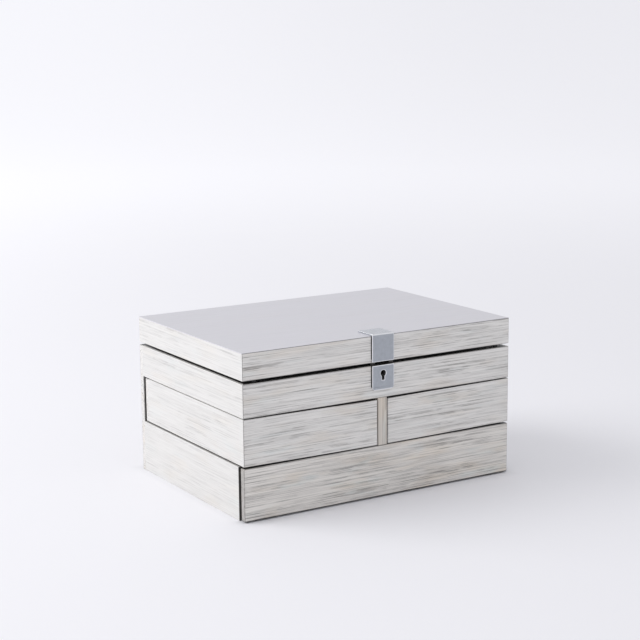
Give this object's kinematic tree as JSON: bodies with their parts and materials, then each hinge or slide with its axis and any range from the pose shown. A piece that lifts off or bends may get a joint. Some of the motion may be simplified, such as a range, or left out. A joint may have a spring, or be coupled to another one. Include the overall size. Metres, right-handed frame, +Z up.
{
  "type": "jewellery chest with drawers",
  "caption": "Rectangular wooden jewellery chest: lift-up lid over a lined tray, drawers that swing out sideways above a full-width sliding drawer, and a metal strap with a keyhole plate.",
  "frame": {"origin": "centre of the case's footprint, on the plane the chest rests on", "axes": "+X to the chest's right as seen from the front, +Y to the back, +Z up; the drawer front faces -Y"},
  "size_m": [0.305, 0.223, 0.162],
  "materials": {
    "silvered_wood": "whitewashed silver-grey grain under satin lacquer",
    "inner_wood": "plain sanded",
    "velvet": "short-pile velvet",
    "base_felt": "felt",
    "satin_metal": "satin",
    "lock_steel": "plain",
    "mirror": "silvered",
    "bumper_rubber": "matt",
    "nylon": "matt"
  },
  "bodies": {
    "case": {"back_panel": "silvered_wood", "tray_front_rail": "silvered_wood", "tray_left_side": "silvered_wood", "tray_right_side": "silvered_wood", "tray_back_rail": "silvered_wood", "tray_floor": "inner_wood", "centre_partition": "silvered_wood", "deck_panel": "inner_wood", "lower_left_side": "silvered_wood", "lower_right_side": "silvered_wood", "bottom_panel": "inner_wood", "base_felt": "base_felt", "drawer_runners": "nylon", "drawer_stop": "inner_wood", "tray_lining": "velvet", "tray_dividers": "velvet", "ring_rolls": "velvet", "lid_bumpers": "bumper_rubber", "hinge_case_leaves": "satin_metal", "hinge_pins": "satin_metal", "case_screws": "lock_steel", "keyhole_plate": "satin_metal", "lock_case": "lock_steel", "lock_key_post": "lock_steel", "swing_pins": "lock_steel", "swing_washers": "nylon"},
    "lid": {"lid_top_panel": "inner_wood", "lid_top_veneer": "silvered_wood", "lid_front_rail": "silvered_wood", "lid_back_rail": "silvered_wood", "lid_left_rail": "silvered_wood", "lid_right_rail": "silvered_wood", "lid_lining": "velvet", "lid_mirror": "mirror", "lid_screws": "lock_steel", "lid_strap": "satin_metal", "mirror_bezel": "satin_metal", "hinge_lid_leaves": "satin_metal", "lock_link_plate": "lock_steel"},
    "lock_bolt": {"lock_bolt": "lock_steel"},
    "left_drawer": {"left_drawer_front": "silvered_wood", "left_drawer_outer_side": "silvered_wood", "left_drawer_inner_side": "silvered_wood", "left_drawer_rear": "silvered_wood", "left_drawer_bottom": "inner_wood", "left_pivot_block": "inner_wood", "left_drawer_lining": "velvet"},
    "right_drawer": {"right_drawer_front": "silvered_wood", "right_drawer_outer_side": "silvered_wood", "right_drawer_inner_side": "silvered_wood", "right_drawer_rear": "silvered_wood", "right_drawer_bottom": "inner_wood", "right_pivot_block": "inner_wood", "right_drawer_lining": "velvet"},
    "bottom_drawer": {"bottom_drawer_front": "silvered_wood", "bottom_drawer_left_side": "inner_wood", "bottom_drawer_right_side": "inner_wood", "bottom_drawer_back": "inner_wood", "bottom_drawer_bottom": "inner_wood", "bottom_drawer_lining": "velvet"}
  },
  "joints": [
    {"name": "lid_hinge", "type": "hinge", "parent": "case", "child": "lid", "pos_m": [0, 0.1107, 0.1329], "axis": [-1, 0, 0], "range_deg": [0, 100]},
    {"name": "left_drawer_swing", "type": "hinge", "parent": "case", "child": "left_drawer", "pos_m": [-0.1415, 0.0848, 0.0758], "axis": [0, 0, -1], "range_deg": [0, 110]},
    {"name": "right_drawer_swing", "type": "hinge", "parent": "case", "child": "right_drawer", "pos_m": [0.1415, 0.0848, 0.0758], "axis": [0, 0, 1], "range_deg": [0, 110]},
    {"name": "bottom_drawer_slide", "type": "slide", "parent": "case", "child": "bottom_drawer", "axis": [0, -1, 0], "range_m": [0, 0.15]},
    {"name": "lock_bolt_slide", "type": "slide", "parent": "case", "child": "lock_bolt", "axis": [1, 0, 0], "range_m": [0, 0.0032]}
  ]
}
